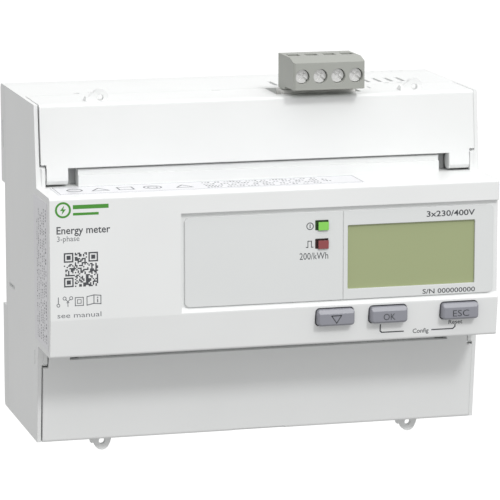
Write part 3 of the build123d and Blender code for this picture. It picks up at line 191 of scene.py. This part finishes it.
PLATED_SCREW = moulded("plated_screw", (0.93, 0.93, 0.92), rough=0.25, metallic=0.45, edge=0.08, grain=0.3,
                       grain_depth=0.003)
OWN_MATERIAL = {"comm_plug_screws": PLATED_SCREW, "comm_header": MATERIALS["white_parts"]}

for entry in frame["record"]["subparts"]:
    node = frame["nodes"][entry["node"]]
    for slot in node.material_slots:
        slot.material = OWN_MATERIAL.get(entry["node"], MATERIALS[entry["material_slot"]])


# ---- printing -------------------------------------------------------------------------------
class Print:
    """Collects thin printed shapes on one plane: u runs right, v runs up, sizes in millimetres."""

    def __init__(self, name, material, body, slot, origin, u_axis=(1, 0, 0), v_axis=(0, 0, 1), lift=0.015):
        self.name = name
        self.material = material
        self.body = body
        self.slot = slot
        self.mesh = bmesh.new()
        u = Vector(u_axis).normalized()
        v = Vector(v_axis).normalized()
        n = u.cross(v)
        matrix = Matrix((u, v, n)).transposed().to_4x4()
        matrix.translation = Vector(origin) * MM
        self.matrix = matrix
        self.lift = lift

    def polygon(self, points):
        """A thin closed prism over a polygon, from just inside the surface to just proud of it."""
        top = [self.mesh.verts.new((x * MM, y * MM, self.lift * MM)) for x, y in points]
        low = [self.mesh.verts.new((x * MM, y * MM, -PRINT_ROOT * MM)) for x, y in points]
        self.mesh.faces.new(top)
        self.mesh.faces.new(low[::-1])
        count = len(points)
        for i in range(count):
            j = (i + 1) % count
            self.mesh.faces.new((top[j], top[i], low[i], low[j]))

    def bar(self, x0, x1, y0, y1):
        self.polygon([(x0, y0), (x1, y0), (x1, y1), (x0, y1)])

    def line(self, start, end, width):
        direction = Vector((end[0] - start[0], end[1] - start[1]))
        direction.normalize()
        side = Vector((-direction.y, direction.x)) * width / 2
        along = direction * width * 0.35
        a = Vector(start) - along
        b = Vector(end) + along
        self.polygon([tuple(a - side), tuple(b - side), tuple(b + side), tuple(a + side)])

    def path(self, points, width):
        for start, end in zip(points, points[1:]):
            self.line(start, end, width)

    def ring(self, x, y, radius, width, start=0.0, end=360.0, steps=28):
        """A ring, or an arc from start to end in degrees."""
        pieces = max(2, int(steps * (end - start) / 360))
        for i in range(pieces):
            a = math.radians(start + (end - start) * i / pieces)
            b = math.radians(start + (end - start) * (i + 1) / pieces)
            inner = radius - width / 2
            outer = radius + width / 2
            self.polygon([
                (x + inner * math.cos(a), y + inner * math.sin(a)),
                (x + outer * math.cos(a), y + outer * math.sin(a)),
                (x + outer * math.cos(b), y + outer * math.sin(b)),
                (x + inner * math.cos(b), y + inner * math.sin(b)),
            ])

    def disc(self, x, y, radius, steps=20):
        self.polygon([(x + radius * math.cos(2 * math.pi * i / steps),
                       y + radius * math.sin(2 * math.pi * i / steps)) for i in range(steps)])

    def text(self, words, left, base, height, width=None, bold=0.0):
        """Generic lettering with capitals of the given height, stretched to the given width."""
        curve = bpy.data.curves.new("letters", "FONT")
        curve.body = words
        curve.size = 1.0
        curve.extrude = 0.5
        curve.offset = bold
        curve.resolution_u = 3
        holder = bpy.data.objects.new("letters", curve)
        bpy.context.scene.collection.objects.link(holder)
        bpy.context.view_layer.update()
        solid = bpy.data.meshes.new_from_object(holder.evaluated_get(bpy.context.evaluated_depsgraph_get()))
        bpy.data.objects.remove(holder)
        xs = [vert.co.x for vert in solid.vertices]
        scale_y = height / LETTER_CAP
        scale_x = width / (max(xs) - min(xs)) if width else scale_y
        shift = min(xs)
        thick = self.lift + PRINT_ROOT
        for vert in solid.vertices:
            x = left + (vert.co.x - shift) * scale_x
            y = base + vert.co.y * scale_y
            z = (vert.co.z + 0.5) * thick - PRINT_ROOT
            vert.co = Vector((x * MM, y * MM, z * MM))
        self.mesh.from_mesh(solid)
        bpy.data.meshes.remove(solid)

    def words(self, rng, left, right, base, height, ink=0.62):
        """A run of small unreadable marks that stands for a line of small print."""
        x = left
        while x < right - height:
            length = height * rng.uniform(1.2, 4.6)
            length = min(length, right - x)
            step = height * 0.72
            at = x
            while at < x + length - step * 0.5:
                tall = height * rng.choice((0.55, 0.6, 0.95))
                self.bar(at, at + step * ink, base, base + tall)
                at += step
            x += length + height * 0.8

    def done(self):
        data = bpy.data.meshes.new(self.name)
        bmesh.ops.remove_doubles(self.mesh, verts=self.mesh.verts, dist=1e-9)
        bmesh.ops.recalc_face_normals(self.mesh, faces=self.mesh.faces)
        self.mesh.transform(self.matrix)
        self.mesh.to_mesh(data)
        self.mesh.free()
        piece = bpy.data.objects.new(self.name, data)
        piece.data.materials.append(self.material)
        bpy.context.scene.collection.objects.link(piece)
        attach(piece, self.body)
        return piece


def box_mm(name):
    low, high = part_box(name)
    return [v / MM for v in low], [v / MM for v in high]


NOSE_FRONT = box_mm("main_housing")[0][1]
window_front = box_mm("display_window")[0][1]
keypad_tilt = math.atan2(KEYPAD_LEAN, KEYPAD_HEIGHT)


def front_print(name, material, lift=0.015):
    return Print(name, material, "housing", "case_plastic", (0, NOSE_FRONT, 0), lift=lift)


def left_column():
    """Maker's column on the left of the nose: a generic mark, plain words, a dot code and pictograms."""
    mark = front_print("green_mark", GREEN_INK)
    mark.ring(-59.3, 20.2, 1.9, 0.55)
    mark.polygon([(-59.0, 21.4), (-60.1, 20.0), (-59.4, 20.0), (-59.7, 18.9), (-58.5, 20.4), (-59.2, 20.4)])
    mark.bar(-56.6, -46.9, 20.35, 21.45)
    mark.bar(-56.6, -49.6, 18.65, 19.35)
    mark.done()
    ink = front_print("name_print", INK)
    ink.text("Energy meter", -61.1, 13.75, 2.0, 14.6, bold=0.012)
    ink.done()
    faint = front_print("small_print", FAINT_INK)
    faint.text("3-phase", -61.0, 11.75, 1.45, 6.1)
    faint.text("see manual", -61.1, -9.0, 1.35, 12.0)
    pictograms(faint)
    faint.done()
    code = front_print("dot_code", INK)
    dot_code(code, -59.2, -0.7, 9.3)
    code.done()


def pictograms(ink):
    """Installer's pictograms: tool, wires, double insulation and manual."""
    z = -6.0
    ink.line((-60.8, z + 0.9), (-60.8, z + 2.6), 0.22)
    ink.ring(-60.8, z + 0.45, 0.4, 0.2)
    ink.ring(-59.1, z + 2.3, 0.42, 0.2)
    ink.ring(-57.3, z + 2.3, 0.42, 0.2)
    ink.line((-58.8, z + 2.0), (-57.9, z + 1.1), 0.2)
    ink.line((-57.6, z + 2.0), (-58.5, z + 1.1), 0.2)
    ink.line((-58.2, z + 1.1), (-58.2, z + 0.1), 0.2)
    for inset, width in ((0.0, 0.22), (0.6, 0.18)):
        a, b = -56.2 + inset, -54.0 - inset
        c, d = z + 0.2 + inset, z + 2.4 - inset
        ink.path([(a, c), (b, c), (b, d), (a, d), (a, c)], width)
    ink.path([(-53.0, z + 0.2), (-53.0, z + 2.5), (-51.1, z + 2.9), (-51.1, z + 0.6), (-53.0, z + 0.2)], 0.24)
    ink.path([(-51.1, z + 0.6), (-49.2, z + 0.4), (-49.2, z + 2.7), (-51.1, z + 2.9)], 0.24)
    ink.line((-50.1, z + 0.9), (-50.1, z + 1.7), 0.3)
    ink.disc(-50.1, z + 2.2, 0.2, 10)


def dot_code(ink, left, low, size):
    """A matrix of dots that looks like a printed code and holds nothing."""
    rng = random.Random(11)
    step = size / CODE_CELLS
    quiet = CODE_CORNER + 1
    far = CODE_CELLS - CODE_CORNER

    def corner(col, row):
        low_row = row < quiet
        high_row = row >= far - 1
        return (col < quiet and (low_row or high_row)) or (col >= far - 1 and high_row)

    for row in range(CODE_CELLS):
        run = None
        for col in range(CODE_CELLS + 1):
            on = col < CODE_CELLS and not corner(col, row) and rng.random() < CODE_FILL
            if on and run is None:
                run = col
            if not on and run is not None:
                ink.bar(left + run * step, left + col * step, low + row * step, low + (row + 0.96) * step)
                run = None
    for col, row in ((0, 0), (0, far), (far, far)):
        x = left + col * step
        z = low + row * step
        side = CODE_CORNER * step
        ink.bar(x, x + side, z, z + step)
        ink.bar(x, x + side, z + side - step, z + side)
        ink.bar(x, x + step, z + step, z + side - step)
        ink.bar(x + side - step, x + side, z + step, z + side - step)
        ink.bar(x + 2 * step, x + side - 2 * step, z + 2 * step, z + side - 2 * step)


def window_print():
    """Marks on the window plate: lamp symbols, meter constant, generic rating and number."""
    ink = Print("window_print", INK, "housing", "window_plate", (0, window_front, 0))
    ink.ring(9.1, 12.7, 0.92, 0.24)
    ink.line((9.1, 12.25), (9.1, 13.15), 0.24)
    ink.path([(8.0, 6.9), (8.5, 6.9), (8.5, 8.6), (9.5, 8.6), (9.5, 6.9), (10.0, 6.9)], 0.22)
    ink.text("200/kWh", 6.15, 3.55, 1.85, 8.1)
    ink.text("3x230/400V", 42.3, 13.85, 1.55, 13.9, bold=0.016)
    ink.text("S/N 000000000", 41.3, -7.6, 1.3, 15.2, bold=0.01)
    ink.done()


def keypad_print():
    """Legends on the leaning keypad panel and on the three keys."""
    up = (0, -math.sin(keypad_tilt), math.cos(keypad_tilt))
    panel = Print("keypad_print", INK, "housing", "case_plastic", (0, NOSE_FRONT, KEYPAD_BREAK_Z), v_axis=up)
    panel.text("Reset", 49.0, -6.75, 1.15, 4.0, bold=0.01)
    panel.text("Config", 38.7, -8.85, 1.25, 4.6, bold=0.01)
    panel.path([(29.3, -5.9), (29.3, -7.7), (29.75, -8.15), (36.0, -8.15)], 0.34)
    panel.path([(44.2, -8.15), (50.3, -8.15), (50.9, -7.6), (50.9, -7.0)], 0.34)
    panel.done()
    for body, node, legend in (("scroll_key", "scroll_button", None), ("ok_key", "ok_button", "OK"),
                               ("escape_key", "escape_button", "ESC")):
        low, high = box_mm(node)
        middle = (low[0] + high[0]) / 2
        base = (low[2] + high[2]) / 2
        ink = Print(legend.lower() + "_legend" if legend else "scroll_legend", INK, body, "button_plastic",
                    (0, low[1], 0), lift=0.0)
        if legend == "OK":
            ink.text(legend, middle - 1.75, base - 1.4, 1.8, 3.4)
        elif legend == "ESC":
            ink.text(legend, middle - 2.3, base - 1.4, 1.8, 4.7)
        else:
            ink.path([(middle - 1.4, base + 0.55), (middle + 1.4, base + 0.55), (middle, base - 1.5),
                      (middle - 1.4, base + 0.55)], 0.26)
        ink.done()


def rating_print():
    """Small print and generic marks on the label on top of the nose."""
    low, high = box_mm("rating_label")
    rng = random.Random(5)
    ink = Print("rating_print", FAINT_INK, "housing", "label_paper", (0, 0, high[2]), v_axis=(0, 1, 0),
                lift=0.01)
    x0 = low[0] + LABEL_MARGIN
    x1 = high[0] - LABEL_MARGIN
    y0 = low[1] + LABEL_MARGIN
    y1 = high[1] - LABEL_MARGIN
    middle = (y0 + y1) / 2
    ink.path([(x0, y0), (x1, y0), (x1, y1), (x0, y1), (x0, y0)], 0.16)
    ink.ring(x0 + 5.0, middle, 2.0, 0.5)
    ink.path([(x0 + 9.5, middle - 2), (x0 + 11.8, middle + 2), (x0 + 14.1, middle - 2),
              (x0 + 9.5, middle - 2)], MARK_STROKE)
    ink.path([(x0 + 17, middle - 2), (x0 + 21, middle - 2), (x0 + 21, middle + 2), (x0 + 17, middle + 2),
              (x0 + 17, middle - 2)], MARK_STROKE)
    ink.ring(x0 + 26.5, middle, 2.4, 0.4)
    ink.ring(x0 + 26.5, middle, 1.3, 0.35)
    ink.path([(x0 + 33, middle - 1.6), (x0 + 35, middle + 1.6), (x0 + 37, middle - 1.6)], MARK_STROKE)
    ink.bar(x0 + 32.6, x0 + 37.4, middle - 2.6, middle - 2.1)
    for row in range(SMALL_PRINT_ROWS):
        end = x1 - 6 - 5 * rng.random()
        ink.words(rng, x0 + 41, end, y0 + 1.4 + row * 2.5, 1.2)
    ink.done()


def side_print():
    """Small print on the side label, read from below upwards."""
    low, high = box_mm("side_label")
    rng = random.Random(9)
    ink = Print("side_print", FAINT_INK, "housing", "label_paper", (low[0], 0, 0), u_axis=(0, 0, 1),
                v_axis=(0, 1, 0), lift=0.0)
    for column, (offset, height) in enumerate(SIDE_COLUMNS):
        short = 6 * rng.random() * (column > 2)
        ink.words(rng, low[2] + 1.5, high[2] - 1.5 - short, low[1] + offset, height)
    ink.done()


def painted_lit_lamp_pads():
    """Painted light on the two light pipes: a bright lit pad at the lower right of each front, against the
    darker lens colour as painted shade along the top and left.
    """
    for node, material, name in (("power_light_pipe", GREEN_PAINTED_LIT_FACE, "power_lamp_painted_lit_pad"),
                                 ("pulse_light_pipe", RED_PAINTED_LIT_FACE, "pulse_lamp_painted_lit_pad")):
        low, high = box_mm(node)
        pad = Print(name, material, "housing", "green_lens" if "power" in node else "red_lens",
                    (0, low[1], 0), lift=0.02)
        # Painted highlight: the lit pad covers only the lower right, so the dark lens colour shows as a
        # painted shaded band along the top and left.
        pad.bar(high[0] - LAMP_LIT_PAD_WIDTH, high[0], low[2], low[2] + LAMP_LIT_PAD_HEIGHT)
        pad.done()


left_column()
window_print()
keypad_print()
rating_print()
side_print()
painted_lit_lamp_pads()


# ---- light and camera -----------------------------------------------------------------------
def sky():
    """Even grey surround, brighter overhead, with a white screen behind the object."""
    world = bpy.data.worlds.new("studio")
    bpy.context.scene.world = world
    world.use_nodes = True
    nodes = world.node_tree.nodes
    links = world.node_tree.links
    background = nodes["Background"]
    background.inputs["Color"].default_value = (1, 1, 1, 1)
    coord = nodes.new("ShaderNodeTexCoord")
    split = nodes.new("ShaderNodeSeparateXYZ")
    links.new(coord.outputs["Generated"], split.inputs["Vector"])
    overhead = nodes.new("ShaderNodeMapRange")
    overhead.inputs["From Min"].default_value = 0.0
    overhead.inputs["From Max"].default_value = 1.0
    overhead.inputs["To Min"].default_value = SURROUND
    overhead.inputs["To Max"].default_value = SURROUND + OVERHEAD
    links.new(split.outputs["Z"], overhead.inputs["Value"])
    facing = nodes.new("ShaderNodeVectorMath")
    facing.operation = "DOT_PRODUCT"
    facing.inputs[1].default_value = Vector(SCREEN_DIRECTION).normalized()
    links.new(coord.outputs["Generated"], facing.inputs[0])
    screen = nodes.new("ShaderNodeMapRange")
    screen.interpolation_type = "SMOOTHSTEP"
    screen.inputs["From Min"].default_value = math.cos(math.radians(SCREEN_FADE))
    screen.inputs["From Max"].default_value = math.cos(math.radians(SCREEN_CLEAR))
    links.new(facing.outputs["Value"], screen.inputs["Value"])
    mix = nodes.new("ShaderNodeMix")
    links.new(screen.outputs["Result"], mix.inputs["Factor"])
    links.new(overhead.outputs["Result"], mix.inputs["A"])
    mix.inputs["B"].default_value = SCREEN_BRIGHTNESS
    links.new(mix.outputs["Result"], background.inputs["Strength"])


def lamps():
    """A soft key from the upper right of the front, and a softbox close above the front."""
    key_data = bpy.data.lights.new("key", "SUN")
    key_data.energy = KEY_ENERGY
    key_data.angle = math.radians(KEY_SPREAD)
    key = bpy.data.objects.new("key", key_data)
    key.rotation_euler = Vector(KEY_DIRECTION).to_track_quat("Z", "Y").to_euler()
    bpy.context.scene.collection.objects.link(key)
    box_data = bpy.data.lights.new("softbox", "AREA")
    box_data.size = SOFTBOX_SIZE
    box_data.energy = SOFTBOX_POWER
    softbox = bpy.data.objects.new("softbox", box_data)
    softbox.location = SOFTBOX_PLACE
    softbox.rotation_euler = Vector(SOFTBOX_PLACE).to_track_quat("Z", "Y").to_euler()
    bpy.context.scene.collection.objects.link(softbox)


def camera():
    """Long lens from the upper left of the front."""
    data = bpy.data.cameras.new("camera")
    data.sensor_width = SENSOR_WIDTH
    data.lens = FOCAL_LENGTH
    data.clip_end = 20
    obj = bpy.data.objects.new("camera", data)
    azimuth = math.radians(CAMERA_AZIMUTH)
    elevation = math.radians(CAMERA_ELEVATION)
    obj.location = Vector(CAMERA_PLACE_MM) * MM
    obj.rotation_euler = (math.pi / 2 - elevation, 0, -azimuth)
    bpy.context.scene.collection.objects.link(obj)
    bpy.context.scene.camera = obj


sky()
lamps()
camera()
bpy.context.scene.view_settings.view_transform = "Standard"
